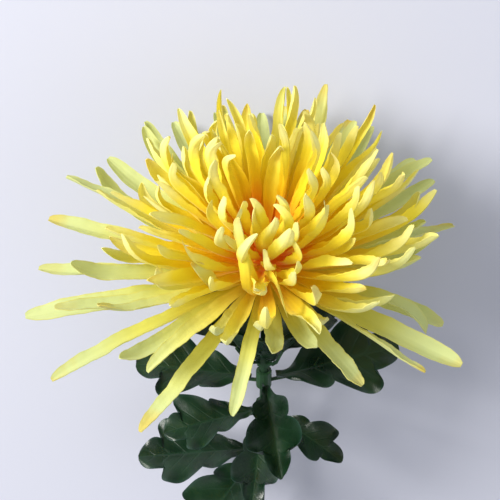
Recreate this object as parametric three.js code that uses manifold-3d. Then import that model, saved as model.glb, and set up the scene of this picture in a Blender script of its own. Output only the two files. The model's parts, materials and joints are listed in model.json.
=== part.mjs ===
// An artificial spider chrysanthemum, lying on a table as it comes to rest. Millimetres, +Z up.
// Twelve die-cut sheets of cloth petals are threaded on a moulded pin with spacer rings between them.
// Pin and stem plug into a calyx cup, and four moulded collars on the stem carry the cloth leaves.
// All is built upright about the bloom's axis, front towards -Y, and laid on its back side at the end.
import * as THREE from "three";
import { mergeVertices } from "three/addons/utils/BufferGeometryUtils.js";
import Module from "manifold-3d";

const wasm = await Module();
wasm.setup();

// Fits and materials' thicknesses
const gap = 0.3; // clearance wherever two pieces touch
const petalCloth = 0.6;
const leafCloth = 0.8;

// Petal sheets, from sheet 0 next to the calyx to the last one in the middle of the bloom
const sheetCount = 12;
const spacerThickness = 0.9;
const outerHubRadius = 9.5;
const innerHubRadius = 3.6;
const outerPetal = { length: 74, width: 10, rise: 96, petals: 18 };
const innerPetal = { length: 42, width: 8.4, rise: 28, petals: 10 };
const lean = 0.24; // share by which petals behind stand higher
const frontShort = 0.14; // share by which petals in front are shorter than those at the sides
const incurve = 46; // degrees by which a petal in front bends inwards along its length
const picks = 80; // scatters that a petal of an inner sheet may try
const petalRoot = 1.0; // how far a petal's root reaches into its hub
const clawShare = 0.6; // share of a hub's rim that its petals take up
const petalTurn = 8; // length over which a petal turns up from its hub

// Pin and spacers
const pinRadius = 1.3;
const pinHead = { radius: 2.2, height: 1.4 };
const spacerRadius = 3.0;

// Calyx cup
const calyx = { mouthRadius: 8.5, neckRadius: 3.4, depth: 16, socket: 6.5, sepals: 8, sepalLength: 12 };

// Stem
const stemRadius = 1.6;
const stemLength = 240;
const stemBend = 56; // how far the cut end stands towards the front
const stemSideways = -6;

// Leaf collars
const collar = { wall: 1.3, length: 8, places: [-42, -54, -71, -93] };
const stalk = { width: 2.2, thickness: 1.6, share: 0.72 };
const leafStart = 0.04; // share of the stalk's line that is bare
const leafStrap = 0.46; // width of a leaf's middle strap, as a share of its whole width
const leafLobes = [
  { place: 0.32, reach: 0.12, size: 0.2 },
  { place: 0.6, reach: 0.17, size: 0.54 },
];

const deg = Math.PI / 180;
const lerp = (a, b, t) => a + (b - a) * t;
const clamp = (x) => Math.min(Math.max(x, 0), 1);
const ease = (x) => clamp(x) ** 2 * (3 - 2 * clamp(x));

// A repeatable scatter between -1 and 1 for a whole number.
function scatter(seed) {
  const wave = Math.sin(seed * 12.9898) * 43758.5453;
  return 2 * (wave - Math.floor(wave)) - 1;
}

const petalInk = new THREE.MeshStandardMaterial({ color: 0xf6d21c, roughness: 0.8, metalness: 0 });
const leafInk = new THREE.MeshStandardMaterial({ color: 0x1d3a22, roughness: 0.55, metalness: 0 });
const stemInk = new THREE.MeshStandardMaterial({ color: 0x1f3d24, roughness: 0.5, metalness: 0 });
const plasticInk = new THREE.MeshStandardMaterial({ color: 0xe9e4c8, roughness: 0.5, metalness: 0 });

// Closed geometry to a solid, and back to a named mesh.
function solid(geometry) {
  const bare = geometry.clone();
  bare.deleteAttribute("normal");
  bare.deleteAttribute("uv");
  const merged = mergeVertices(bare, 1e-4);
  return new wasm.Manifold(
    new wasm.Mesh({
      numProp: 3,
      vertProperties: merged.attributes.position.array,
      triVerts: new Uint32Array(merged.index.array),
    }),
  );
}

function named(name, shape, material) {
  const { vertProperties, triVerts } = shape.getMesh();
  const geometry = new THREE.BufferGeometry();
  geometry.setAttribute("position", new THREE.BufferAttribute(vertProperties, 3));
  geometry.setIndex(new THREE.BufferAttribute(triVerts, 1));
  geometry.computeVertexNormals();
  const mesh = new THREE.Mesh(geometry, material);
  mesh.name = name;
  return mesh;
}

// A piece turned about the Z axis from a profile of [radius, height] points, closed unless it ends on the axis.
function turned(profile, sides) {
  const closed = profile[0][0] === 0 ? profile : [...profile, profile[0]];
  const points = closed.map(([radius, height]) => new THREE.Vector2(radius, height));
  return solid(new THREE.LatheGeometry(points, sides).rotateX(Math.PI / 2));
}

// The line that a petal or a leaf follows from its root, with a frame at each station.
// It leaves at startHeading, turns to rise, then droops outwards and curls inwards near its tip.
// Headings are measured from the bloom's axis, and bearings anticlockwise from the right.
const lineSteps = 60;
function bentLine(bend, stations) {
  const { origin, bearing, root, length, startHeading, rise, turn, droop, curl, sway, roll } = bend;
  const place = new THREE.Vector3(Math.cos(bearing * deg), Math.sin(bearing * deg), 0);
  place.multiplyScalar(root).add(origin);
  const frames = [];
  for (let step = 0; step <= lineSteps; step += 1) {
    const t = step / lineSteps;
    const turned = lerp(startHeading, rise, ease((t * length) / turn));
    const heading = (turned + droop * t * t - curl * ease((t - 0.55) / 0.45)) * deg;
    const facing = (bearing + sway * t * t) * deg;
    const out = new THREE.Vector3(Math.cos(facing), Math.sin(facing), 0);
    const along = out.clone().multiplyScalar(Math.sin(heading));
    along.z = Math.cos(heading);
    const inner = out.clone().multiplyScalar(-Math.cos(heading));
    inner.z = Math.sin(heading);
    inner.applyAxisAngle(along, roll * ease(t * 1.5) * deg);
    if (stations.includes(step)) {
      frames.push({ t, at: place.clone(), along, inner, side: along.clone().cross(inner) });
    }
    place.addScaledVector(along, length / lineSteps);
  }
  return frames;
}

// A strip of cloth along a line: each section has two thin edges, lifted into a gutter, and a thicker middle.
// Both faces of a wing are split along the same diagonal, so that they stay apart where the strip twists.
// edge(t) gives the half width, the lift of the edges and how far they lead the middle.
function strip(frames, thickness, edge) {
  const positions = [];
  for (const { t, at, along, inner, side } of frames) {
    const { half, lift, lead } = edge(t);
    const edgePoint = (sign) =>
      at.clone().addScaledVector(side, sign * half).addScaledVector(inner, lift).addScaledVector(along, lead);
    const middle = (sign) => at.clone().addScaledVector(inner, (sign * thickness) / 2);
    for (const corner of [edgePoint(-1), middle(1), edgePoint(1), middle(-1)]) positions.push(...corner.toArray());
  }
  const faces = [0, 3, 1, 1, 3, 2];
  for (let ring = 0; ring < frames.length - 1; ring += 1) {
    for (let corner = 0; corner < 4; corner += 1) {
      const a = ring * 4 + corner;
      const b = ring * 4 + ((corner + 1) % 4);
      if (corner % 2 === 0) faces.push(a, b, b + 4, a, b + 4, a + 4);
      else faces.push(a, b, a + 4, b, b + 4, a + 4);
    }
  }
  const last = (frames.length - 1) * 4;
  faces.push(last, last + 1, last + 3, last + 1, last + 2, last + 3);
  const geometry = new THREE.BufferGeometry();
  geometry.setAttribute("position", new THREE.Float32BufferAttribute(positions, 3));
  geometry.setIndex(faces);
  return solid(geometry);
}

// A petal's half width along its length: a narrow claw, a long body and a rounded or pointed tip.
const petalStations = { outer: [0, 12, 27, 43, 54, 60], inner: [0, 15, 34, 52, 60] };
function petalEdge({ width, claw, cup, shoulder, tip }) {
  return (t) => {
    const body = lerp(claw / width, 1, Math.sin((Math.PI / 2) * clamp(t / 0.55)) ** 1.5);
    const end = (1 - clamp((t - shoulder) / (1.005 - shoulder)) ** tip) ** (1 / tip);
    const half = (width / 2) * body * Math.max(end, 0.14);
    const fold = cup * ease(t / 0.25);
    return { half: half * Math.cos(fold), lift: half * Math.sin(fold), lead: 0 };
  };
}

// Petals of the three outer sheets, bent one by one: bearing, rise, length, width, droop, curl, sway, roll.
const outerSheets = [
  [
    [236, 102, 72, 8.4, 12, 8, -4, 10],
    [208, 96, 82, 8.6, 6, -4, 0, 10],
    [190, 93, 84, 9.4, 4, -4, 2, -14],
    [164, 86, 78, 8.4, -14, -20, 2, 10],
    [140, 76, 74, 8.6, 0, 6, 4, -8],
    [117, 73, 74, 8.8, 0, 4, 2, 6],
    [91, 72, 70, 8.6, 0, 8, 0, -6],
    [63, 73, 74, 8.8, 0, 4, -2, -6],
    [41, 76, 72, 8.4, 0, 10, -4, 8],
    [16, 84, 70, 8.2, -8, -24, 8, -10],
    [348, 92, 62, 8.8, 26, 0, -4, 12],
    [331, 94, 74, 10.0, 4, -8, -2, 20],
    [306, 104, 50, 9.4, 10, 0, 4, -14],
    [261, 98, 54, 7.2, 22, 0, -10, 12],
  ],
  [
    [222, 92, 64, 8.2, 6, 18, 0, -12],
    [199, 88, 74, 8.0, 0, 10, 0, 14],
    [181, 88, 79, 8.4, 6, -4, -2, 10],
    [154, 78, 74, 8.6, 0, 30, -6, -10],
    [129, 69, 74, 8.4, 0, 10, 2, 10],
    [104, 67, 68, 8.6, 0, 6, 0, -8],
    [77, 66, 68, 8.4, 0, 10, 2, 8],
    [52, 67, 70, 8.6, 0, 4, 0, 10],
    [29, 77, 70, 8.4, 0, 4, 2, -10],
    [6, 82, 60, 6.8, 4, 26, 0, 40],
    [339, 86, 62, 8.2, 4, -78, 0, -10],
    [320, 92, 66, 6.6, 14, -10, 6, -50],
    [292, 92, 42, 8.4, -16, 24, 0, 10],
    [275, 94, 38, 8.8, -12, 12, 0, -8],
  ],
  [
    [245, 90, 46, 7.8, -30, 24, -4, 6],
    [230, 90, 58, 8.4, 10, -12, 0, -10],
    [211, 81, 66, 8.0, 0, 16, 4, 12],
    [191, 79, 70, 8.2, 0, 10, 0, -10],
    [172, 78, 78, 9.0, 4, -4, 2, -8],
    [158, 72, 78, 8.8, 0, -2, -4, 6],
    [134, 66, 70, 8.4, 0, 8, 2, -12],
    [109, 61, 66, 8.2, 0, 6, 2, 10],
    [82, 59, 64, 8.0, 0, 6, -2, -10],
    [57, 64, 66, 8.2, 0, 4, 0, 8],
    [32, 68, 72, 9.0, 2, -4, -2, 6],
    [10, 75, 58, 8.0, 4, 10, 0, -10],
    [350, 80, 54, 8.0, 0, 20, 4, 10],
    [325, 82, 54, 8.2, -12, 28, 6, -14],
    [299, 86, 44, 8.0, -30, 26, 0, 10],
    [266, 86, 42, 8.4, -34, 30, 0, 0],
  ],
];

function petalCount(sheet) {
  if (sheet < outerSheets.length) return outerSheets[sheet].length;
  return Math.round(lerp(outerPetal.petals, innerPetal.petals, (sheet / (sheetCount - 1)) ** 2));
}

// How one petal is bent: from the list above, or scattered on its sheet, differently with each pick.
function petalBend(sheet, index, pick) {
  if (sheet < outerSheets.length) {
    const [bearing, rise, length, width, droop, curl, sway, roll] = outerSheets[sheet][index];
    const cup = 0.42 + 0.1 * scatter(sheet * 40 + index);
    return { bearing, rise, length, width, droop, curl, sway, roll, cup, shoulder: 0.72, tip: 2 };
  }
  const seed = (pick * sheetCount + sheet) * outerPetal.petals + index;
  const share = sheet / (sheetCount - 1);
  const bearing = ((index + 0.5 * (sheet % 2)) / petalCount(sheet)) * 360 + sheet * 9 + 8 * scatter(seed);
  const middleRise = lerp(outerPetal.rise, innerPetal.rise, share);
  const front = -Math.sin(bearing * deg);
  const shorter = frontShort * clamp(front) + 0.14 * scatter(seed + 0.2);
  return {
    bearing,
    rise: middleRise * (1 - lean * clamp(-front)) + lerp(7, 2, share) * scatter(seed + 0.1),
    length: lerp(outerPetal.length, innerPetal.length, share) * (1 - shorter),
    width: lerp(outerPetal.width, innerPetal.width, share) * (1 + 0.11 * scatter(seed + 0.3)),
    droop: -incurve * lerp(0.4, 1, clamp(front)) * lerp(1, 0.4, share) + 14 * scatter(seed + 0.9),
    curl: lerp(1, 0.5, share) * (12 + 50 * scatter(seed + 0.4)),
    sway: 14 * scatter(seed + 0.5),
    roll: 34 * scatter(seed + 0.6),
    cup: 0.65 + 0.3 * scatter(seed + 0.7),
    shoulder: 0.66,
    tip: 1.8 + 0.3 * scatter(seed + 0.8),
  };
}

// Sheets: a washer with its petals, all cut from one piece of cloth.
const sheetPitch = petalCloth + spacerThickness + 2 * gap;
const holeRadius = pinRadius + gap;
const hubRadius = (sheet) => lerp(outerHubRadius, innerHubRadius, sheet / (sheetCount - 1));
const ring = (inner, outer, low, high) => [
  [inner, low],
  [outer, low],
  [outer, high],
  [inner, high],
];

// A petal leaves its hub flat and narrow, so that it meets nothing but the hub's rim.
function petal(sheet, bend) {
  const origin = new THREE.Vector3(0, 0, sheet * sheetPitch);
  const root = hubRadius(sheet) - petalRoot;
  const claw = (clawShare * 2 * Math.PI * hubRadius(sheet)) / petalCount(sheet);
  const line = { ...bend, origin, root, startHeading: 90, turn: petalTurn };
  const stations = sheet < outerSheets.length ? petalStations.outer : petalStations.inner;
  return strip(bentLine(line, stations), petalCloth * 0.9, petalEdge({ ...bend, claw }));
}

// A petal takes the first pick with which it stays a gap away from the sheets and petals laid before it.
function layPetal(sheet, index, laid) {
  let best = { spare: -1 };
  for (let pick = 0; pick < picks && best.spare < gap * 0.9; pick += 1) {
    const shape = petal(sheet, petalBend(sheet, index, pick));
    const spare = Math.min(...laid.map((other) => shape.minGap(other, gap)), gap);
    if (spare > best.spare) best = { spare, shape };
  }
  return best.shape;
}

// The outer sheets come first, and then the others from the middle of the bloom outwards.
function petalSheets() {
  const sheets = Array.from({ length: sheetCount }, (_, sheet) => sheet);
  const order = [...sheets.slice(0, outerSheets.length), ...sheets.slice(outerSheets.length).reverse()];
  const laid = [];
  for (const sheet of order) {
    const height = sheet * sheetPitch;
    const hub = turned(ring(holeRadius, hubRadius(sheet), height - petalCloth / 2, height + petalCloth / 2), 10);
    const petals = [];
    for (let index = 0; index < petalCount(sheet); index += 1) petals.push(layPetal(sheet, index, [...laid, ...petals]));
    laid.push(petals.reduce((shape, one) => shape.add(one), hub));
  }
  const name = (sheet) => `petal_sheet_${String(sheet + 1).padStart(2, "0")}`;
  return sheets.map((sheet) => named(name(sheet), laid[order.indexOf(sheet)], petalInk));
}

// Spacers ride on the pin between two sheets.
function spacer(sheet) {
  const low = sheet * sheetPitch + petalCloth / 2 + gap;
  const shape = turned(ring(holeRadius, spacerRadius, low, low + spacerThickness), 8);
  return named(`spacer_${String(sheet + 1).padStart(2, "0")}`, shape, plasticInk);
}

// The pin's foot stands in the calyx, and its head holds the innermost sheet down.
const calyxTop = -petalCloth / 2 - gap;
const calyxFoot = calyxTop - calyx.depth;
const stemTop = calyxFoot + calyx.socket;
const pinFoot = stemTop + gap;
const pinTop = (sheetCount - 1) * sheetPitch + petalCloth / 2 + gap;
function pin() {
  const headTop = pinTop + pinHead.height;
  const profile = [
    [0, pinFoot],
    [pinRadius, pinFoot],
    [pinRadius, pinTop],
    [pinHead.radius, pinTop],
    [pinHead.radius * 0.8, headTop - 0.4],
    [0, headTop],
  ];
  return named("petal_pin", turned(profile, 12), plasticInk);
}

// The calyx is a moulded cup with a ring of short sepals, bored for the pin above and the stem below.
function calyxCup() {
  const boreRadius = stemRadius + gap;
  const shoulder = calyxTop - 5;
  const profile = [
    [holeRadius, calyxTop],
    [holeRadius, pinFoot],
    [boreRadius, pinFoot - gap / 2],
    [boreRadius, calyxFoot],
    [calyx.neckRadius, calyxFoot],
    [calyx.neckRadius + 0.4, calyxFoot + 5],
    [calyx.mouthRadius * 0.75, shoulder],
    [calyx.mouthRadius, calyxTop - 1.6],
    [calyx.mouthRadius - 0.8, calyxTop],
  ];
  let shape = turned(profile, 16);
  for (let index = 0; index < calyx.sepals; index += 1) {
    const sepal = {
      origin: new THREE.Vector3(0, 0, calyxTop - 3.4),
      bearing: (index / calyx.sepals) * 360,
      root: calyx.mouthRadius - 3,
      length: calyx.sepalLength,
      startHeading: 96,
      rise: 112,
      turn: 8,
      droop: 10,
      curl: 0,
      sway: 0,
      roll: 0,
    };
    const edge = (t) => ({ half: 2.4 * (1 - 0.85 * t ** 1.6), lift: 0.3, lead: 0 });
    shape = shape.add(strip(bentLine(sepal, [0, 30, 60]), 1.0, edge));
  }
  return named("calyx", shape, stemInk);
}

// The stem is one gently bent rod that ends in a square cut.
const stemFoot = stemTop - stemLength;
const stemLine = new THREE.CubicBezierCurve3(
  new THREE.Vector3(0, 0, stemTop),
  new THREE.Vector3(0, 0, lerp(stemTop, stemFoot, 0.36)),
  new THREE.Vector3(stemSideways * 0.3, -stemBend * 0.36, lerp(stemTop, stemFoot, 0.7)),
  new THREE.Vector3(stemSideways, -stemBend, stemFoot),
);
function stem() {
  const section = new THREE.Shape().absarc(0, 0, stemRadius, 0, 2 * Math.PI);
  const rod = new THREE.ExtrudeGeometry(section, { steps: 20, extrudePath: stemLine, curveSegments: 4 });
  return named("stem", solid(rod), stemInk);
}

// The point and direction of the stem at a height.
function stemAt(height) {
  const share = (x) => stemLine.getPoint(x).z - height;
  let low = 0;
  let high = 1;
  for (let i = 0; i < 40; i += 1) {
    const middle = (low + high) / 2;
    if (share(middle) > 0) low = middle;
    else high = middle;
  }
  return { at: stemLine.getPoint(low), along: stemLine.getTangent(low) };
}

// Leaves, bent one by one: collar, bearing, rise, length, width, droop, roll, fold.
const leaves = [
  [0, 156, 56, 42, 28, 6, -10, 0.3],
  [0, 121, 42, 40, 24, 4, -8, 0.3],
  [0, 60, 43, 38, 24, 4, 8, 0.3],
  [0, 20, 58, 38, 24, 6, -14, 0.3],
  [0, 225, 25, 30, 21, 4, 10, 0.45],
  [0, 298, 23, 30, 21, 4, -10, 0.45],
  [1, 8, 78, 54, 36, 2, 24, 0.2],
  [1, 176, 84, 50, 30, 4, -16, 0.25],
  [1, 278, 94, 46, 32, 14, 10, 0.8],
  [2, 196, 92, 40, 28, 4, -12, 0.3],
  [2, 322, 96, 38, 20, 6, 10, 0.4],
  [2, 264, 98, 44, 22, 8, 0, 0.5],
  [3, 186, 88, 50, 32, 4, -10, 0.22],
  [3, 236, 96, 46, 30, 8, -4, 0.35],
];

function leafLine([place, bearing, rise, length, , droop, roll], stations) {
  const origin = stemAt(collar.places[place]).at;
  const root = stemRadius + gap + collar.wall / 2;
  return bentLine(
    { origin, bearing, root, length, startHeading: lerp(90, rise, 0.5), rise, turn: 12, droop, curl: 0, sway: 0, roll },
    stations,
  );
}

// A leaf's half width: a strap with a round end, and two pairs of round lobes that point forwards.
const leafStations = [3, 20, 27, 32, 37, 43, 47, 55, 60];
function leafEdge(width, fold) {
  return (t) => {
    const s = clamp((t - leafStart) / (1 - leafStart));
    const end = Math.max(Math.sqrt(1 - clamp((s - 0.82) / 0.182) ** 2), 0.12);
    let lobes = 0;
    for (const { place, reach, size } of leafLobes) {
      lobes += size * Math.sqrt(1 - clamp(Math.abs(s - place) / reach) ** 2);
    }
    const half = (width / 2) * (lerp(0.12, leafStrap, ease(s / 0.35)) * end + lobes);
    return { half: half * Math.cos(fold), lift: half * Math.sin(fold), lead: 0.35 * width * lobes };
  };
}

function leaf(spec, index) {
  const [, , , , width, , , fold] = spec;
  const shape = strip(leafLine(spec, leafStations), leafCloth, leafEdge(width, fold));
  return named(`leaf_${String(index + 1).padStart(2, "0")}`, shape, leafInk);
}

// A collar slides on the stem, and its moulded stalks run under the leaves as their ribs.
function leafCollar(place) {
  const { at, along } = stemAt(collar.places[place]);
  const inner = stemRadius + gap;
  const profile = ring(inner, inner + collar.wall, -collar.length / 2, collar.length / 2);
  const follow = new THREE.Quaternion().setFromUnitVectors(new THREE.Vector3(0, 0, -1), along);
  const onStem = new THREE.Matrix4().compose(at, follow, new THREE.Vector3(1, 1, 1));
  let shape = turned(profile, 12).transform(onStem.toArray());
  const below = leafCloth / 2 + gap + stalk.thickness / 2;
  for (const spec of leaves.filter(([carrier]) => carrier === place)) {
    const frames = leafLine(spec, [0, 8, 20, 32, 43]);
    for (const frame of frames) frame.at.addScaledVector(frame.inner, -below);
    const taper = (t) => ({ half: (stalk.width / 2) * (1 - 0.6 * (t / stalk.share)), lift: 0, lead: 0 });
    shape = shape.add(strip(frames, stalk.thickness, taper));
  }
  return named(`leaf_collar_${place + 1}`, shape, stemInk);
}

// The whole flower, upright
const flower = new THREE.Group();
flower.add(...petalSheets());
for (let sheet = 0; sheet < sheetCount - 1; sheet += 1) flower.add(spacer(sheet));
flower.add(pin(), calyxCup(), stem());
leaves.forEach((spec, index) => flower.add(leaf(spec, index)));
collar.places.forEach((_, place) => flower.add(leafCollar(place)));

// Every vertex as the flower stands upright, and the middle of its solid volume.
function weigh(group) {
  const points = [];
  const middle = new THREE.Vector3();
  let total = 0;
  for (const { geometry } of group.children) {
    const { position } = geometry.attributes;
    const corners = Array.from({ length: position.count }, (_, i) => new THREE.Vector3().fromBufferAttribute(position, i));
    points.push(...corners);
    for (let i = 0; i < geometry.index.count; i += 3) {
      const [a, b, c] = [0, 1, 2].map((k) => corners[geometry.index.getX(i + k)]);
      const volume = a.dot(b.clone().cross(c)) / 6;
      middle.addScaledVector(a.clone().add(b).add(c), volume / 4);
      total += volume;
    }
  }
  return { points, middle: middle.divideScalar(total) };
}

// On a table the flower tips until its middle lies lowest: petals behind and the stem then touch.
function restTilt(group) {
  const { points, middle } = weigh(group);
  const height = (tilt) => {
    const [down, back] = [-Math.sin(tilt * deg), Math.cos(tilt * deg)];
    return Math.max(...points.map((p) => p.y * back + p.z * down)) - (middle.y * back + middle.z * down);
  };
  let [low, high] = [0, 60];
  for (let i = 0; i < 50; i += 1) {
    const third = (high - low) / 3;
    if (height(low + third) < height(high - third)) high -= third;
    else low += third;
  }
  return (low + high) / 2;
}

// Laid on its back side, with the bounding box's bottom centre at the origin.
const tilt = restTilt(flower);
flower.rotation.x = (tilt - 90) * deg;
flower.updateMatrixWorld(true);
const box = new THREE.Box3().setFromObject(flower, true);
flower.position.set(-(box.min.x + box.max.x) / 2, -(box.min.y + box.max.y) / 2, -box.min.z);

const lying = new THREE.Group();
lying.add(flower);

export default lying;
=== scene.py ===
"""An artificial spider chrysanthemum lying on a pale table, seen from above its front.

Everything is measured in the flower's own frame, in millimetres: the bloom's axis is +Z, its front is -Y,
and the lowest petal sheet is at height 0. The stem's cut end says how that frame lies on the table.
"""

import json
import math

import bpy
import numpy as np
from mathutils import Matrix, Quaternion, Vector


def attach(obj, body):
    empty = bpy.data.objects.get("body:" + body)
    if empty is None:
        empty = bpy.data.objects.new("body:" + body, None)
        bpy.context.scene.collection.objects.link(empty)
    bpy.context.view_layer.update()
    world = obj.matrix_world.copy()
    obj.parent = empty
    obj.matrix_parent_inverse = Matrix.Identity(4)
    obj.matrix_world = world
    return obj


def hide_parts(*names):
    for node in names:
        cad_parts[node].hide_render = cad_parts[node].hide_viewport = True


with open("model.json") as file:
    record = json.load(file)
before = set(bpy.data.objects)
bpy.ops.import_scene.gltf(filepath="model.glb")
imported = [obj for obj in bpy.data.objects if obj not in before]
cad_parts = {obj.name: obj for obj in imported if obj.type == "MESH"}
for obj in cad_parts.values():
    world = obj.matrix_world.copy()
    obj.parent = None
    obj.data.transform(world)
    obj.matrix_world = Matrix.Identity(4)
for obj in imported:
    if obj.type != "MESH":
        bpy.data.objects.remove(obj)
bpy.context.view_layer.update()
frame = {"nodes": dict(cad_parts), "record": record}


# Stem
# One round rod of dark green polyethylene moulded over wire, with fine flow lines, cut square at its foot.
# It bends forward, and only turning it about X takes its upright end to where it lies on the table.
STEM_RADIUS = 1.6
STEM_TOP = -10.1
STEM_FOOT = -250.1
STEM_BEND = 56
STEM_SIDEWAYS = -6
STEM_SIDES = 20
STEM_STEPS = 90
STEM_LIGHT = "#24452B"
STEM_DARK = "#17301E"
STEM_GRAIN = 160.0
PLASTIC_ROUGHNESS = (0.38, 0.55)
FINE_GRAIN = 12  # how many times finer the plastic's second grain is
CLOUD = (0.3, 0.7)  # where a noise starts and ends its change from one colour to the other
METRE = 0.001


def mix(a, b, t):
    return a + (b - a) * t


def stem_guide(sideways, forward, down):
    """A place that lies the given shares of the way from the stem's top to its foot."""
    return Vector((STEM_SIDEWAYS * sideways, -STEM_BEND * forward, mix(STEM_TOP, STEM_FOOT, down)))


STEM_LINE = [stem_guide(0, 0, 0), stem_guide(0, 0, 0.36), stem_guide(0.3, 0.36, 0.7), stem_guide(1, 1, 1)]


def stem_point(t):
    weights = ((1 - t) ** 3, 3 * t * (1 - t) ** 2, 3 * t * t * (1 - t), t**3)
    return sum((place * weight for place, weight in zip(STEM_LINE, weights)), Vector())


def stem_tangent(t):
    weights = ((1 - t) ** 2, 2 * t * (1 - t), t * t)
    ways = [(b - a) * weight for a, b, weight in zip(STEM_LINE, STEM_LINE[1:], weights)]
    return sum(ways, Vector()).normalized()


stem_end = next(mount for mount in frame["record"]["mounts"] if mount["name"] == "stem_end")
upright_end = stem_tangent(1)
lying_end = Vector(stem_end["axis"])
laid_down = math.atan2(lying_end.z, lying_end.y) - math.atan2(upright_end.z, upright_end.y)
LAY = Matrix.Rotation(laid_down, 4, "X") @ Matrix.Scale(METRE, 4)
LAY = Matrix.Translation(Vector(stem_end["pos_m"]) - LAY @ STEM_LINE[-1]) @ LAY


def linear(code):
    """A colour's hex code as the linear values that a shader takes."""
    parts = [int(code[i : i + 2], 16) / 255 for i in (1, 3, 5)]
    return tuple(p / 12.92 if p <= 0.04045 else ((p + 0.055) / 1.055) ** 2.4 for p in parts) + (1.0,)


class Wire:
    """A shader socket, so that a finish's sums are written as ordinary sums."""

    def __init__(self, finish, socket):
        self.finish = finish
        self.socket = socket

    def beside(self, output):
        """Another output of the same node."""
        return Wire(self.finish, self.socket.node.outputs[output])

    def __add__(self, other):
        return self.finish.sum("ADD", self, other)

    def __radd__(self, other):
        return self.finish.sum("ADD", other, self)

    def __sub__(self, other):
        return self.finish.sum("SUBTRACT", self, other)

    def __rsub__(self, other):
        return self.finish.sum("SUBTRACT", other, self)

    def __mul__(self, other):
        return self.finish.sum("MULTIPLY", self, other)

    def __rmul__(self, other):
        return self.finish.sum("MULTIPLY", other, self)

    def __abs__(self):
        return self.finish.sum("ABSOLUTE", self)

    def sine(self):
        return self.finish.sum("SINE", self)

    def ramp(self, low, high, to_low=0.0, to_high=1.0):
        """Goes smoothly from to_low to to_high while this value goes from low to high."""
        values = {"Value": self, "From Min": low, "From Max": high, "To Min": to_low, "To Max": to_high}
        return self.finish.add("ShaderNodeMapRange", {"interpolation_type": "SMOOTHSTEP"}, values)


class Finish:
    """One material. add makes any node from its type, its settings and the values or wires of its sockets."""

    def __init__(self, name):
        self.material = bpy.data.materials.new(name)
        self.material.use_nodes = True
        self.tree = self.material.node_tree
        self.tree.nodes.clear()

    def add(self, kind, settings=None, values=None, output=0):
        node = self.tree.nodes.new(kind)
        for key, value in (settings or {}).items():
            setattr(node, key, value)
        for key, value in (values or {}).items():
            if isinstance(value, Wire):
                self.tree.links.new(value.socket, node.inputs[key])
            else:
                node.inputs[key].default_value = value
        return Wire(self, node.outputs[output]) if node.outputs else None

    def sum(self, operation, *terms):
        return self.add("ShaderNodeMath", {"operation": operation}, dict(enumerate(terms)))

    def blend(self, amount, first, second):
        return self.add("ShaderNodeMix", {"data_type": "RGBA"}, {0: amount, 6: first, 7: second}, output=2)

    def place(self):
        return self.add("ShaderNodeTexCoord", output="Object")

    def noise(self, place, scale, detail=2.0):
        return self.add("ShaderNodeTexNoise", None, {"Vector": place, "Scale": scale, "Detail": detail})

    def bump(self, height, strength, distance):
        values = {"Height": height, "Strength": strength, "Distance": distance}
        return self.add("ShaderNodeBump", None, values)

    def surface(self, shader):
        self.add("ShaderNodeOutputMaterial", None, {"Surface": shader})
        return self.material


def green_plastic(name, light, dark, grain):
    finish = Finish(name)
    place = finish.place()
    cloud = finish.noise(place, grain)
    height = cloud * 0.5 + finish.noise(place, grain * FINE_GRAIN) * 0.5
    values = {
        "Base Color": finish.blend(cloud.ramp(*CLOUD), linear(dark), linear(light)),
        "Roughness": cloud.ramp(*CLOUD, *PLASTIC_ROUGHNESS),
        "Normal": finish.bump(height, 0.3, 0.0003),
    }
    return finish.surface(finish.add("ShaderNodeBsdfPrincipled", None, values))


class Skin:
    """Gathers grids of points into one mesh. A point's marks are its share along and its place across."""

    def __init__(self):
        self.points = []
        self.faces = []
        self.marks = []
        self.traits = []
        self.count = 0

    def grid(self, points, traits=(0, 0, 0), marks=None, flip=False):
        rows, columns = points.shape[:2]
        index = np.arange(rows * columns).reshape(rows, columns) + self.count
        corners = [index[:-1, :-1], index[:-1, 1:], index[1:, 1:], index[1:, :-1]]
        quads = np.stack(corners, axis=-1).reshape(-1, 4)
        self.faces.append(quads[:, ::-1] if flip else quads)
        self.points.append(points.reshape(-1, 3))
        self.marks.append(np.zeros((rows * columns, 2)) if marks is None else marks.reshape(-1, 2))
        self.traits.append(np.repeat([traits], rows * columns, axis=0))
        self.count += rows * columns

    def piece(self, name, material):
        turned = np.concatenate(self.points) @ np.array(LAY.to_3x3()).T + np.array(LAY.translation)
        mesh = bpy.data.meshes.new(name)
        mesh.from_pydata(turned.tolist(), [], np.concatenate(self.faces).tolist())
        mesh.polygons.foreach_set("use_smooth", [True] * len(mesh.polygons))
        corners = np.empty(len(mesh.loops), dtype=np.int32)
        mesh.loops.foreach_get("vertex_index", corners)
        marks = np.concatenate(self.marks)[corners]
        mesh.uv_layers.new(name="cloth").data.foreach_set("uv", marks.astype(np.float32).ravel())
        colours = np.ones((self.count, 4), dtype=np.float32)
        colours[:, :3] = np.concatenate(self.traits)
        mesh.attributes.new("traits", "FLOAT_COLOR", "POINT").data.foreach_set("color", colours.ravel())
        mesh.materials.append(material)
        thing = bpy.data.objects.new(name, mesh)
        bpy.context.collection.objects.link(thing)
        return thing


def stem_ring(t):
    tangent = stem_tangent(t)
    side = Vector((1, 0, 0)).cross(tangent).normalized()
    other = tangent.cross(side)
    turns = [2 * math.pi * k / STEM_SIDES for k in range(STEM_SIDES + 1)]
    return [tuple(stem_point(t) + (side * math.cos(a) + other * math.sin(a)) * STEM_RADIUS) for a in turns]


rod = np.array([stem_ring(step / STEM_STEPS) for step in range(STEM_STEPS + 1)])
rod_skin = Skin()
rod_skin.grid(rod)
for rings in ((rod[0].mean(axis=0), rod[0]), (rod[-1], rod[-1].mean(axis=0))):
    rod_skin.grid(np.stack(np.broadcast_arrays(*rings)))
stem = rod_skin.piece("stem_rod", green_plastic("stem", STEM_LIGHT, STEM_DARK, STEM_GRAIN))
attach(stem, "root")
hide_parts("stem")


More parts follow.
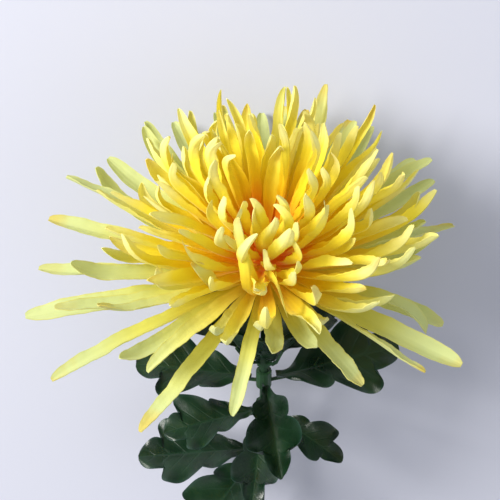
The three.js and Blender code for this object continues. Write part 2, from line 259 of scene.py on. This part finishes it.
# Petal sheets
# Each sheet is one piece of polyester cloth, die-cut into strap petals round a small hub, dyed from orange
# at the hub to pale lemon at the tips, and pressed hot into gutters that curl. A pin threads the sheets.
SHEETS = 12
PETAL_CLOTH = 0.45
SOLID_HALF = 0.27  # half the thickness that an inner petal's solid has at its tip
SHEET_PITCH = 2.1
OUTER_HUB = 9.5
INNER_HUB = 3.6
HUB_SIDES = 36
HOLE_RADIUS = 1.6
PETAL_COLUMNS = 9
PETAL_ROOT = 1.0  # how far a petal's root reaches into its hub
PETAL_START = 90  # heading at the root, in degrees from the bloom's axis
PETAL_TURN = 8  # length over which a petal turns up from its hub
CLAW_SHARE = 0.85  # share of a hub's rim that its petals take up
CLAW_LENGTH = 0.55  # share of a petal's length over which its claw widens
OUTER_PETAL = {"length": 74, "width": 10, "rise": 96, "petals": 18}
INNER_PETAL = {"length": 42, "width": 8.4, "rise": 28, "petals": 10}
LEAN = 0.24  # share by which petals behind stand higher
FRONT_SHORT = 0.14  # share by which petals in front are shorter than those at the sides
INCURVE = 46  # degrees by which a petal in front bends inwards along its length
PICKS = 80  # scatters that a petal of an inner sheet may have
NEAR = 0.05  # how close a petal's tip comes to its solid's corner when the pick is the right one

# How an inner petal's and an outer petal's edge is folded and rounded.
INNER_EDGE = {"cup": 0.65, "shoulder": 0.66, "tip": 1.8}
OUTER_EDGE = {"cup": 0.42, "shoulder": 0.72, "tip": 2}

# How far an inner petal's trait may be off its sheet's rule, to either side. Length and width are shares.
SPREAD = {
    "bearing": 8,
    "length": 0.14,
    "width": 0.11,
    "droop": 14,
    "curl": 50,
    "sway": 14,
    "roll": 34,
    "cup": 0.3,
    "tip": 0.3,
}
OUTER_RISE_SPREAD = 7
INNER_RISE_SPREAD = 2
SHEET_TURN = 9  # degrees by which each sheet is turned against the one below
MIDDLE_CURL = 12  # degrees that an inner petal curls when its scatter is 0

# What bends and narrows an inner petal more than its solid. TIGHT and LOOSE say how much of it the outermost
# and the innermost sheets get. Hook, stray and twist are in degrees, and the gutter is in radians.
TIGHT = 0.2
LOOSE = 1.6
TIP_HOOK = 36
TIP_STRAY = 28
TIP_TWIST = 65
TIP_GUTTER = 0.5
SLENDER = 0.78

# The shape of a petal's edge. BLUNT_SHOULDER and BLUNT_TIP make every end rounder than its solid's.
BLUNT_SHOULDER = 0.05
BLUNT_TIP = 0.25
LEAST_END = 0.14
CUP_LENGTH = 0.25
GUTTER_START = 0.4
GUTTER_LENGTH = 0.4
EDGE_WAVE = 0.06
CRINKLE = 0.025
LOOKS_SEED = 900
MOST_PETALS = 40  # seeds set aside for each sheet

# Where along a petal or a leaf each bend starts, as a share of its length.
CURL_START = 0.55
HOOK_START = 0.7
TWIST_START = 0.4
LINE_STEPS = 60

# Three petals in front are bent as listed. Each row has the sheet, the petal's bearing and what is changed.
HAND_BENT = [
    (3, 236, dict(bearing=226, rise=30, turn=32, length=48, droop=0, curl=5, cup=1.1, hook=0, singed=1.0)),
    (4, 259, dict(bearing=260, rise=4, turn=36, length=62, droop=-6, curl=0, roll=30, hook=0, twist=20)),
    (4, 275, dict(bearing=273, rise=42, droop=40, curl=-75, length=44, cup=1.0, roll=0, hook=0, twist=0)),
]

# The petals of the three outer sheets, one by one. Angles are in degrees.
TRAITS = ("bearing", "rise", "length", "width", "droop", "curl", "sway", "roll")
OUTER_SHEETS = [
    [
        [236, 102, 72, 8.4, 12, 8, -4, 10],
        [208, 96, 82, 8.6, 6, -4, 0, 10],
        [190, 93, 84, 9.4, 4, -4, 2, -14],
        [164, 86, 78, 8.4, -14, -20, 2, 10],
        [140, 76, 74, 8.6, 0, 6, 4, -8],
        [117, 73, 74, 8.8, 0, 4, 2, 6],
        [91, 72, 70, 8.6, 0, 8, 0, -6],
        [63, 73, 74, 8.8, 0, 4, -2, -6],
        [41, 76, 72, 8.4, 0, 10, -4, 8],
        [16, 84, 70, 8.2, -8, -24, 8, -10],
        [348, 92, 62, 8.8, 26, 0, -4, 12],
        [331, 94, 74, 10.0, 4, -8, -2, 20],
        [306, 104, 50, 9.4, 10, 0, 4, -14],
        [261, 98, 54, 7.2, 22, 0, -10, 12],
    ],
    [
        [222, 92, 64, 8.2, 6, 18, 0, -12],
        [199, 88, 74, 8.0, 0, 10, 0, 14],
        [181, 88, 79, 8.4, 6, -4, -2, 10],
        [154, 78, 74, 8.6, 0, 30, -6, -10],
        [129, 69, 74, 8.4, 0, 10, 2, 10],
        [104, 67, 68, 8.6, 0, 6, 0, -8],
        [77, 66, 68, 8.4, 0, 10, 2, 8],
        [52, 67, 70, 8.6, 0, 4, 0, 10],
        [29, 77, 70, 8.4, 0, 4, 2, -10],
        [6, 82, 60, 6.8, 4, 26, 0, 40],
        [339, 86, 62, 8.2, 4, -78, 0, -10],
        [320, 92, 66, 6.6, 14, -10, 6, -50],
        [292, 92, 42, 8.4, -16, 24, 0, 10],
        [275, 94, 38, 8.8, -12, 12, 0, -8],
    ],
    [
        [245, 90, 46, 7.8, -30, 24, -4, 6],
        [230, 90, 58, 8.4, 10, -12, 0, -10],
        [211, 81, 66, 8.0, 0, 16, 4, 12],
        [191, 79, 70, 8.2, 0, 10, 0, -10],
        [172, 78, 78, 9.0, 4, -4, 2, -8],
        [158, 72, 78, 8.8, 0, -2, -4, 6],
        [134, 66, 70, 8.4, 0, 8, 2, -12],
        [109, 61, 66, 8.2, 0, 6, 2, 10],
        [82, 59, 64, 8.0, 0, 6, -2, -10],
        [57, 64, 66, 8.2, 0, 4, 0, 8],
        [32, 68, 72, 9.0, 2, -4, -2, 6],
        [10, 75, 58, 8.0, 4, 10, 0, -10],
        [350, 80, 54, 8.0, 0, 20, 4, 10],
        [325, 82, 54, 8.2, -12, 28, 6, -14],
        [299, 86, 44, 8.0, -30, 26, 0, 10],
        [266, 86, 42, 8.4, -34, 30, 0, 0],
    ],
]

# The dyes, each with where along a petal it starts and where it is full. The outer sheets are dyed paler.
INNER_ROOT = "#FF8C00"
MIDDLE_ROOT = "#F8C000"
INNER_DYES = ((0.1, 0.46, "#FFDE14"), (0.42, 0.72, "#FFF042"), (0.68, 1.0, "#FFFCAC"))
OUTER_ROOT = "#E8CE22"
OUTER_DYES = ((0.05, 0.45, "#E0DC62"), (0.35, 0.85, "#D6E1A4"))
SINGED_TIP = "#E4C024"
CUT_EDGE = "#EED83C"
SHINING_THROUGH = "#F4EC58"
THROUGH_SHARE = 0.3
OUTER_SHEETS_START = (0.62, 0.9)  # how far out the paler dyes start and are full
SINGE_RUN = (0.86, 1.04)
EDGE_RUN = (0.8, 1.0)
BLOTCH_SHIFT = 0.22
CHANCE_SHIFT = 0.16
BLOTCH_SCALE = 90.0
CREASE_SCALE = 500.0
WEAVE_SCALE = 4200.0


def scatter(seed):
    """A number from -1 to 1 that is always the same for the same seed."""
    wave = math.sin(seed * 12.9898) * 43758.5453
    return 2 * (wave - math.floor(wave)) - 1


def clamp(x):
    return min(max(x, 0.0), 1.0)


def ease(x):
    return clamp(x) ** 2 * (3 - 2 * clamp(x))


def late(t, start):
    """Eases from 0 at the start to 1 at the end of a line."""
    return ease((t - start) / (1 - start))


def bent_line(
    origin, bearing, root, length, start, rise, turn, droop, roll, curl=0, sway=0, hook=0, twist=0, stray=0
):
    """The places and directions (along, inner, side) at each step of a petal's or a leaf's line."""
    place = Vector((math.cos(math.radians(bearing)), math.sin(math.radians(bearing)), 0)) * root + origin
    frames = []
    for step in range(LINE_STEPS + 1):
        t = step / LINE_STEPS
        turned = mix(start, rise, ease(t * length / turn))
        turned += droop * t * t - curl * late(t, CURL_START) - hook * late(t, HOOK_START)
        heading = math.radians(turned)
        facing = math.radians(bearing + sway * t * t)
        out = Vector((math.cos(facing), math.sin(facing), 0))
        along = out * math.sin(heading) + Vector((0, 0, math.cos(heading)))
        inner = out * -math.cos(heading) + Vector((0, 0, math.sin(heading)))
        along = Quaternion(inner, math.radians(stray * t * t)) @ along
        rolled = math.radians(roll * ease(t * 1.5) + twist * late(t, TWIST_START))
        inner = Quaternion(along, rolled) @ inner
        frames.append((t, place.copy(), along, inner, along.cross(inner)))
        place = place + along * (length / LINE_STEPS)
    return frames


class Cloth(Skin):
    """A skin that is also laid in strips of cloth, each with both faces and a rim."""

    def strip(self, frames, columns, thickness, edge, ripple, traits):
        """edge(t) gives the strip's half width, lift and lead at t, and ripple(t, u) lifts a point."""
        across = np.linspace(-1, 1, columns)
        faces = {1: [], -1: []}
        for t, at, along, inner, side in frames:
            half, lift, lead = edge(t)
            for u in across:
                rise = lift * abs(u) ** 1.5 + ripple(t, u)
                middle = at + side * (u * half) + inner * rise + along * (lead * abs(u))
                for face in (1, -1):
                    faces[face].append(middle + inner * (face * thickness / 2 * (1 - 0.35 * u * u)))
        rows = len(frames)
        shape = (rows, columns, 3)
        top, bottom = (np.array([tuple(point) for point in faces[face]]).reshape(shape) for face in (1, -1))
        share = np.linspace(0, 1, rows)
        marks = np.stack(np.broadcast_arrays(share[:, None], across[None, :]), axis=-1)
        self.grid(top, traits, marks)
        self.grid(bottom, traits, marks, flip=True)
        for line, flip in ((np.s_[:, 0], True), (np.s_[:, -1], False), (np.s_[-1, :], True)):
            rim = np.stack([top[line], bottom[line]], axis=1)
            self.grid(rim, traits, np.stack([marks[line], marks[line]], axis=1), flip=flip)


def hub_radius(sheet):
    return mix(OUTER_HUB, INNER_HUB, sheet / (SHEETS - 1))


def petal_count(sheet):
    if sheet < len(OUTER_SHEETS):
        return len(OUTER_SHEETS[sheet])
    return round(mix(OUTER_PETAL["petals"], INNER_PETAL["petals"], (sheet / (SHEETS - 1)) ** 2))


def petal_bend(sheet, index, pick):
    """How a petal is bent, by the same rule as its solid. Outer petals have only one pick."""
    if sheet < len(OUTER_SHEETS):
        bend = dict(zip(TRAITS, OUTER_SHEETS[sheet][index]), **OUTER_EDGE)
        bend["cup"] += 0.1 * scatter(sheet * MOST_PETALS + index)
        return bend
    seed = (pick * SHEETS + sheet) * OUTER_PETAL["petals"] + index
    share = sheet / (SHEETS - 1)
    bearing = (index + 0.5 * (sheet % 2)) / petal_count(sheet) * 360 + sheet * SHEET_TURN
    bearing += SPREAD["bearing"] * scatter(seed)
    front = -math.sin(math.radians(bearing))
    shorter = FRONT_SHORT * clamp(front) + SPREAD["length"] * scatter(seed + 0.2)
    rise_spread = mix(OUTER_RISE_SPREAD, INNER_RISE_SPREAD, share)
    incurve = INCURVE * mix(0.4, 1, clamp(front)) * mix(1, 0.4, share)
    sizes = ("rise", "length", "width")
    rise, length, width = (mix(OUTER_PETAL[size], INNER_PETAL[size], share) for size in sizes)
    return {
        "bearing": bearing,
        "rise": rise * (1 - LEAN * clamp(-front)) + rise_spread * scatter(seed + 0.1),
        "length": length * (1 - shorter),
        "width": width * (1 + SPREAD["width"] * scatter(seed + 0.3)),
        "droop": SPREAD["droop"] * scatter(seed + 0.9) - incurve,
        "curl": mix(1, 0.5, share) * (MIDDLE_CURL + SPREAD["curl"] * scatter(seed + 0.4)),
        "sway": SPREAD["sway"] * scatter(seed + 0.5),
        "roll": SPREAD["roll"] * scatter(seed + 0.6),
        "cup": INNER_EDGE["cup"] + SPREAD["cup"] * scatter(seed + 0.7),
        "shoulder": INNER_EDGE["shoulder"],
        "tip": INNER_EDGE["tip"] + SPREAD["tip"] * scatter(seed + 0.8),
    }


def petal_line(sheet, bend, **tip):
    """A petal's bent line. tip may add a hook, a twist and a stray to it."""
    shape = {key: bend[key] for key in ("bearing", "length", "rise", "droop", "curl", "sway", "roll")}
    shape["turn"] = bend.get("turn", PETAL_TURN)
    shape["root"] = hub_radius(sheet) - PETAL_ROOT
    return bent_line(Vector((0, 0, sheet * SHEET_PITCH)), start=PETAL_START, **shape, **tip)


def laid_petals(sheet):
    """How each petal of a sheet lies: with the first pick whose tip is at a corner of the sheet's solid."""
    solid = frame["nodes"][f"petal_sheet_{sheet + 1:02d}"]
    to_flower = LAY.inverted() @ solid.matrix_world
    corners = np.array([tuple(to_flower @ vertex.co) for vertex in solid.data.vertices])
    petals = []
    for index in range(petal_count(sheet)):
        misses = []
        for pick in range(PICKS):
            _, tip, _, inner, _ = petal_line(sheet, petal_bend(sheet, index, pick))[-1]
            misses.append(np.abs(corners - np.array(tip + inner * SOLID_HALF)).sum(axis=1).min())
            if misses[-1] < NEAR:
                break
        petals.append(petal_bend(sheet, index, int(np.argmin(misses))))
    for place, bearing, changes in HAND_BENT:
        if place == sheet:
            min(petals, key=lambda bend: abs(bend["bearing"] % 360 - bearing)).update(changes)
    return petals


def petal_edge(sheet, bend, gutter):
    """A narrow claw that widens to the body, and an end that rounds off after the shoulder."""
    claw = CLAW_SHARE * 2 * math.pi * hub_radius(sheet) / petal_count(sheet)
    shoulder = bend["shoulder"] + BLUNT_SHOULDER
    tip = bend["tip"] + BLUNT_TIP

    def edge(t):
        body = mix(claw / bend["width"], 1, math.sin(math.pi / 2 * clamp(t / CLAW_LENGTH)) ** 1.5)
        end = (1 - clamp((t - shoulder) / (1.005 - shoulder)) ** tip) ** (1 / tip)
        half = bend["width"] / 2 * body * max(end, LEAST_END)
        fold = bend["cup"] * ease(t / CUP_LENGTH) + gutter * ease((t - GUTTER_START) / GUTTER_LENGTH)
        return half * math.cos(fold), half * math.sin(fold), 0

    return edge


def petal_ripple(width, phase):
    """Two slow waves that grow towards the edge, and a fine crinkle."""

    def ripple(t, u):
        wave = math.sin(t * 21 + phase) * 0.6 + math.sin(t * 37 + 2 * phase) * 0.4
        crinkle = math.sin(t * 83 + 5 * phase + 2 * u) * math.sin(t * 31 + phase)
        return width * (EDGE_WAVE * wave * abs(u) ** 3 + CRINKLE * crinkle * abs(u)) * ease(t * 2)

    return ripple


def petal_cloth():
    """The dyed cloth. The traits are how far out a sheet is, a petal's chance and how singed its tip is."""
    finish = Finish("petal_cloth")
    along = finish.add("ShaderNodeSeparateXYZ", None, {0: finish.add("ShaderNodeUVMap", {"uv_map": "cloth"})})
    across = along.beside(1)
    traits = finish.add("ShaderNodeAttribute", {"attribute_name": "traits"})
    outward = finish.add("ShaderNodeSeparateColor", None, {0: traits})
    chance = outward.beside(1)
    scorch = outward.beside(2)
    place = finish.place()
    blotch = finish.noise(place, BLOTCH_SCALE)
    run = along + (blotch - 0.5) * BLOTCH_SHIFT + (chance - 0.5) * CHANCE_SHIFT

    inner = finish.blend(outward.ramp(0.3, 0.6), linear(INNER_ROOT), linear(MIDDLE_ROOT))
    for low, high, dye in INNER_DYES:
        inner = finish.blend(run.ramp(low, high), inner, linear(dye))
    outer = linear(OUTER_ROOT)
    for low, high, dye in OUTER_DYES:
        outer = finish.blend(run.ramp(low, high), outer, linear(dye))
    colour = finish.blend(outward.ramp(*OUTER_SHEETS_START), inner, outer)
    singe = (along + (blotch - 0.5) * 0.5).ramp(*SINGE_RUN) * scorch * 0.85
    colour = finish.blend(singe, colour, linear(SINGED_TIP))
    colour = finish.blend(abs(across).ramp(*EDGE_RUN, 0.0, 0.35) * chance, colour, linear(CUT_EDGE))

    creases = (across * 13.0).sine() * 0.2 + finish.noise(place, CREASE_SCALE) * 0.5
    normal = finish.bump(creases + finish.noise(place, WEAVE_SCALE, 0.0) * 0.4, 0.35, 0.0004)
    values = {
        "Base Color": colour,
        "Roughness": 0.72,
        "Sheen Weight": 0.2,
        "Sheen Roughness": 0.4,
        # A faint emission in the dye's own colour is a painted glow. It stands in for light shining through
        # the cloth.
        "Emission Color": colour,
        "Emission Strength": 0.06,
        "Normal": normal,
    }
    body = finish.add("ShaderNodeBsdfPrincipled", None, values)
    glow = finish.add("ShaderNodeBsdfTranslucent", None, {"Color": linear(SHINING_THROUGH), "Normal": normal})
    return finish.surface(finish.add("ShaderNodeMixShader", None, {0: THROUGH_SHARE, 1: body, 2: glow}))


def hub_rings(sheet):
    """A flat washer's outline, turned round the bloom's axis."""
    rim = hub_radius(sheet)
    low, high = (sheet * SHEET_PITCH + side * PETAL_CLOTH / 2 for side in (-1, 1))
    outline = [(HOLE_RADIUS, low), (rim, low), (rim, high), (HOLE_RADIUS, high), (HOLE_RADIUS, low)]
    turns = np.linspace(0, 2 * math.pi, HUB_SIDES + 1)
    return np.array([[(r * math.cos(a), r * math.sin(a), z) for r, z in outline] for a in turns])


PETAL_FINISH = petal_cloth()
for sheet in range(SHEETS):
    cloth = Cloth()
    outward = 1 - sheet / (SHEETS - 1)
    loose = clamp(mix(LOOSE, TIGHT, outward))
    for index, bend in enumerate(laid_petals(sheet)):
        seed = LOOKS_SEED + sheet * MOST_PETALS + index
        bend["width"] *= mix(1, SLENDER, loose)
        line = petal_line(
            sheet,
            bend,
            hook=bend.get("hook", TIP_HOOK * (1 + scatter(seed + 0.4)) * loose),
            twist=bend.get("twist", TIP_TWIST * scatter(seed + 0.7) * loose),
            stray=TIP_STRAY * scatter(seed + 0.6) * loose,
        )
        edge = petal_edge(sheet, bend, TIP_GUTTER * (1 + 0.8 * scatter(seed + 0.8)) * loose)
        ripple = petal_ripple(bend["width"], 3 * scatter(seed + 0.3))
        traits = (
            clamp(outward + 0.06 * scatter(seed + 0.1)),
            0.5 + 0.5 * scatter(seed),
            bend.get("singed", clamp(1.6 * scatter(seed + 0.2)) * outward),
        )
        cloth.strip(line, PETAL_COLUMNS, PETAL_CLOTH, edge, ripple, traits)
    cloth.grid(hub_rings(sheet), (outward, 0.5, 0), flip=True)
    petals = cloth.piece(f"petals_{sheet + 1:02d}", PETAL_FINISH)
    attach(petals, "root")
    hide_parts(f"petal_sheet_{sheet + 1:02d}")


# Pin and spacer rings
# Small natural polyethylene mouldings: a headed pin that threads the sheets, and rings that hold them apart.
# The petals hide them.
NATURAL_LIGHT = "#F4C860"
NATURAL_DARK = "#F0B040"
NATURAL_GRAIN = 300.0


def natural_plastic():
    finish = Finish("white_plastic")
    cloud = finish.noise(finish.place(), NATURAL_GRAIN)
    values = {
        "Base Color": finish.blend(cloud.ramp(*CLOUD), linear(NATURAL_DARK), linear(NATURAL_LIGHT)),
        "Roughness": 0.5,
        "Normal": finish.bump(cloud, 0.2, 0.0002),
    }
    return finish.surface(finish.add("ShaderNodeBsdfPrincipled", None, values))


NATURAL_FINISH = natural_plastic()
for name, thing in frame["nodes"].items():
    if name == "petal_pin" or name.startswith("spacer"):
        thing.data.materials.clear()
        thing.data.materials.append(NATURAL_FINISH)


# Calyx and leaf collars
# Moulded in the same dark green plastic as the stem's cover, with a satin skin. The calyx takes the pin above
# and the stem below, and the collars slide on the stem.
GREEN_LIGHT = "#2B5232"
GREEN_DARK = "#1A3A20"
GREEN_GRAIN = 120.0
GREEN_FINISH = green_plastic("green_plastic", GREEN_LIGHT, GREEN_DARK, GREEN_GRAIN)
for name, thing in frame["nodes"].items():
    if name == "calyx" or name.startswith("leaf_collar"):
        thing.data.materials.clear()
        thing.data.materials.append(GREEN_FINISH)


# Leaves
# Each leaf is die-cut from waxed dark green cloth, pressed with a midrib and side veins, and glued on a
# moulded stalk. Four collars carry the stalks and slide on the stem.
LEAF_CLOTH = 0.6
LEAF_COLUMNS = 17
LEAF_START = 0.04  # share of the stalk's line that is bare
LEAF_TURN = 12  # length over which a leaf turns from its stalk
LEAF_STRAP = 0.46  # width of a leaf's middle strap, as a share of its whole width
LEAF_NECK = 0.12  # width of the strap where it leaves the stalk, as the same share
NECK_LENGTH = 0.35
LEAF_SHOULDER = 0.82  # share of the length at which the end starts to round off
LEAF_LOBES = ((0.32, 0.12, 0.2), (0.6, 0.17, 0.54))  # each pair's place, reach and size
LOBE_LEAD = 0.35  # how far the lobes point forward
LEAF_SWELL = 0.03
COLLAR_WALL = 1.3
COLLARS = (-42, -54, -71, -93)  # heights of the collars' middles on the stem
GAP = 0.3  # clearance between a collar and the stem
LEAF_DARK = "#0A2312"
LEAF_LIGHT = "#14351D"
LEAF_VEIN = "#274632"
# A paler, bluer tone on the leaf's rim. It is a painted highlight where light catches the curled edges.
LEAF_RIM_HIGHLIGHT = "#2D4D41"
LEAF_ROUGHNESS = (0.26, 0.42)
SIDE_VEINS = 46.0  # sets how close together the side veins are
LEAF_BLOTCH = 70.0
LEAF_CREASE = 500.0
LEAF_WEAVE = 4000.0
LEAF_BUCKLE = 110.0

# The leaves' collar, bearing, rise, length, width, droop, roll and fold. The fold is in radians.
LEAVES = [
    (0, 156, 56, 42, 28, 6, -10, 0.3),
    (0, 121, 42, 40, 24, 4, -8, 0.3),
    (0, 60, 43, 38, 24, 4, 8, 0.3),
    (0, 20, 58, 38, 24, 6, -14, 0.3),
    (0, 225, 25, 30, 21, 4, 10, 0.45),
    (0, 298, 23, 30, 21, 4, -10, 0.45),
    (1, 8, 78, 54, 36, 2, 24, 0.2),
    (1, 176, 84, 50, 30, 4, -16, 0.25),
    (1, 278, 94, 46, 32, 14, 10, 0.8),
    (2, 196, 92, 40, 28, 4, -12, 0.3),
    (2, 322, 96, 38, 20, 6, 10, 0.4),
    (2, 264, 98, 44, 22, 8, 0, 0.5),
    (3, 186, 88, 50, 32, 4, -10, 0.22),
    (3, 236, 96, 46, 30, 8, -4, 0.35),
]


def stem_at(height):
    """The place on the stem's line at a height, found by halving."""
    low, high = 0.0, 1.0
    for _ in range(40):
        middle = (low + high) / 2
        if stem_point(middle).z > height:
            low = middle
        else:
            high = middle
    return stem_point(low)


def leaf_edge(width, fold):
    """A middle strap with two pairs of round lobes, folded up along the midrib."""

    def edge(t):
        s = clamp((t - LEAF_START) / (1 - LEAF_START))
        end = max(math.sqrt(1 - clamp((s - LEAF_SHOULDER) / (1.002 - LEAF_SHOULDER)) ** 2), 0.08)
        strap = mix(LEAF_NECK, LEAF_STRAP, ease(s / NECK_LENGTH)) * end
        reaches = [(size, min(abs(s - place) / reach, 1)) for place, reach, size in LEAF_LOBES]
        lobes = sum(size * math.sqrt(1 - away**2) for size, away in reaches)
        half = width / 2 * (strap + lobes)
        return half * math.cos(fold), half * math.sin(fold), LOBE_LEAD * width * lobes

    return edge


def leaf_ripple(width, phase):
    """Two swells that run across the leaf and grow towards its edge."""

    def ripple(t, u):
        swell = math.sin(t * 17 + phase + 2 * u) + 0.8 * math.sin(t * 29 - 2 * phase - 3 * u)
        return LEAF_SWELL * width * swell * abs(u) ** 2

    return ripple


def leaf_cloth():
    finish = Finish("leaf_cloth")
    along = finish.add("ShaderNodeSeparateXYZ", None, {0: finish.add("ShaderNodeUVMap", {"uv_map": "cloth"})})
    across = along.beside(1)
    place = finish.place()
    blotch = finish.noise(place, LEAF_BLOTCH)
    side_veins = ((along - abs(across) * 0.16) * SIDE_VEINS).sine().ramp(0.82, 1.0)
    midrib = abs(across).ramp(0.09, 0.0)
    ribs = (side_veins * abs(across).ramp(1.0, 0.3) + midrib * 1.5).ramp(0.0, 1.6)
    colour = finish.blend(blotch.ramp(*CLOUD), linear(LEAF_DARK), linear(LEAF_LIGHT))
    colour = finish.blend(ribs * 0.35, colour, linear(LEAF_VEIN))
    # Lighter and bluer towards the rim, as a painted highlight where light catches the leaf's curled edges.
    colour = finish.blend(abs(across).ramp(0.86, 1.0) * 0.5, colour, linear(LEAF_RIM_HIGHLIGHT))
    height = ribs * -0.4 + finish.noise(place, LEAF_CREASE) * 0.5 + finish.noise(place, LEAF_WEAVE, 0.0) * 0.2
    height = height + finish.noise(place, LEAF_BUCKLE, 1.0) * 3.0
    values = {
        "Base Color": colour,
        "Roughness": blotch.ramp(*CLOUD, *LEAF_ROUGHNESS),
        "Specular IOR Level": 0.5,
        "Normal": finish.bump(height, 0.5, 0.0005),
    }
    return finish.surface(finish.add("ShaderNodeBsdfPrincipled", None, values))


LEAF_FINISH = leaf_cloth()
for number, (collar, bearing, rise, length, width, droop, roll, fold) in enumerate(LEAVES):
    line = bent_line(
        stem_at(COLLARS[collar]),
        bearing,
        root=STEM_RADIUS + GAP + COLLAR_WALL / 2,
        length=length,
        start=mix(90, rise, 0.5),
        rise=rise,
        turn=LEAF_TURN,
        droop=droop,
        roll=roll,
    )
    blade = [row for row in line if row[0] >= LEAF_START]
    ripple = leaf_ripple(width, 3 * scatter(number + 0.5))
    cloth = Cloth()
    cloth.strip(blade, LEAF_COLUMNS, LEAF_CLOTH, leaf_edge(width, fold), ripple, (0.5, 0.5, 0.5))
    leaf = cloth.piece(f"leaf_blade_{number + 1:02d}", LEAF_FINISH)
    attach(leaf, "root")
    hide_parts(f"leaf_{number + 1:02d}")


# Table and light
# A plain pale table, one large soft light from the upper left of the picture, a weak one from the right and
# a pale room. Lengths here are in metres.
TABLE_REACH = 4.0
TABLE_COLOUR = "#CED0DE"
ROOM_COLOUR = (0.93, 0.95, 1.0, 1.0)
ROOM_STRENGTH = 0.48
BLOOM_MIDDLE = Vector((0, 0, 20))  # in the flower's own frame, where the lights point

table_mesh = bpy.data.meshes.new("table_top")
table_corners = [(x * TABLE_REACH, y * TABLE_REACH, 0) for x, y in ((-1, -1), (1, -1), (1, 1), (-1, 1))]
table_mesh.from_pydata(table_corners, [], [(0, 1, 2, 3)])
table_top = bpy.data.objects.new("table_top", table_mesh)
bpy.context.collection.objects.link(table_top)
finish = Finish("table_top")
values = {"Base Color": linear(TABLE_COLOUR), "Roughness": 0.95, "Specular IOR Level": 0.1}
table_mesh.materials.append(finish.surface(finish.add("ShaderNodeBsdfPrincipled", None, values)))

world = bpy.data.worlds.new("room")
world.use_nodes = True
world.node_tree.nodes["Background"].inputs["Color"].default_value = ROOM_COLOUR
world.node_tree.nodes["Background"].inputs["Strength"].default_value = ROOM_STRENGTH
bpy.context.scene.world = world


def soft_light(name, place, size, power, colour):
    lamp = bpy.data.lights.new(name, "AREA")
    lamp.size = size
    lamp.energy = power
    lamp.color = colour
    thing = bpy.data.objects.new(name, lamp)
    thing.location = Vector(place)
    thing.rotation_euler = (LAY @ BLOOM_MIDDLE - thing.location).to_track_quat("-Z", "Y").to_euler()
    bpy.context.collection.objects.link(thing)


soft_light("window", (-1.0, 0.62, 0.85), 0.6, 25.0, (1.0, 0.98, 0.93))
soft_light("fill", (0.9, -0.1, 0.8), 0.9, 2.0, (0.92, 0.95, 1.0))


# Camera
# It looks at the bloom from 42 degrees above the bloom's rim, a little above and left of its middle.
ELEVATION = math.radians(42)
DISTANCE = 550
ABOVE = 10.8
LEFT = 5.8
LENS = 103
SENSOR = 36
toward_camera = Vector((0, -math.cos(ELEVATION), math.sin(ELEVATION)))
image_up = Vector((0, math.sin(ELEVATION), math.cos(ELEVATION)))
eye = toward_camera * DISTANCE + image_up * ABOVE - Vector((LEFT, 0, 0))
axes = Matrix((Vector((1, 0, 0)), image_up, toward_camera)).transposed()
camera = bpy.data.objects.new("camera", bpy.data.cameras.new("camera"))
camera.matrix_world = Matrix.Translation(LAY @ eye) @ (LAY.to_3x3().normalized() @ axes).to_4x4()
camera.data.lens = LENS
camera.data.sensor_width = SENSOR
camera.data.clip_start = 0.01
bpy.context.collection.objects.link(camera)
bpy.context.scene.camera = camera
bpy.context.scene.view_settings.view_transform = "Standard"
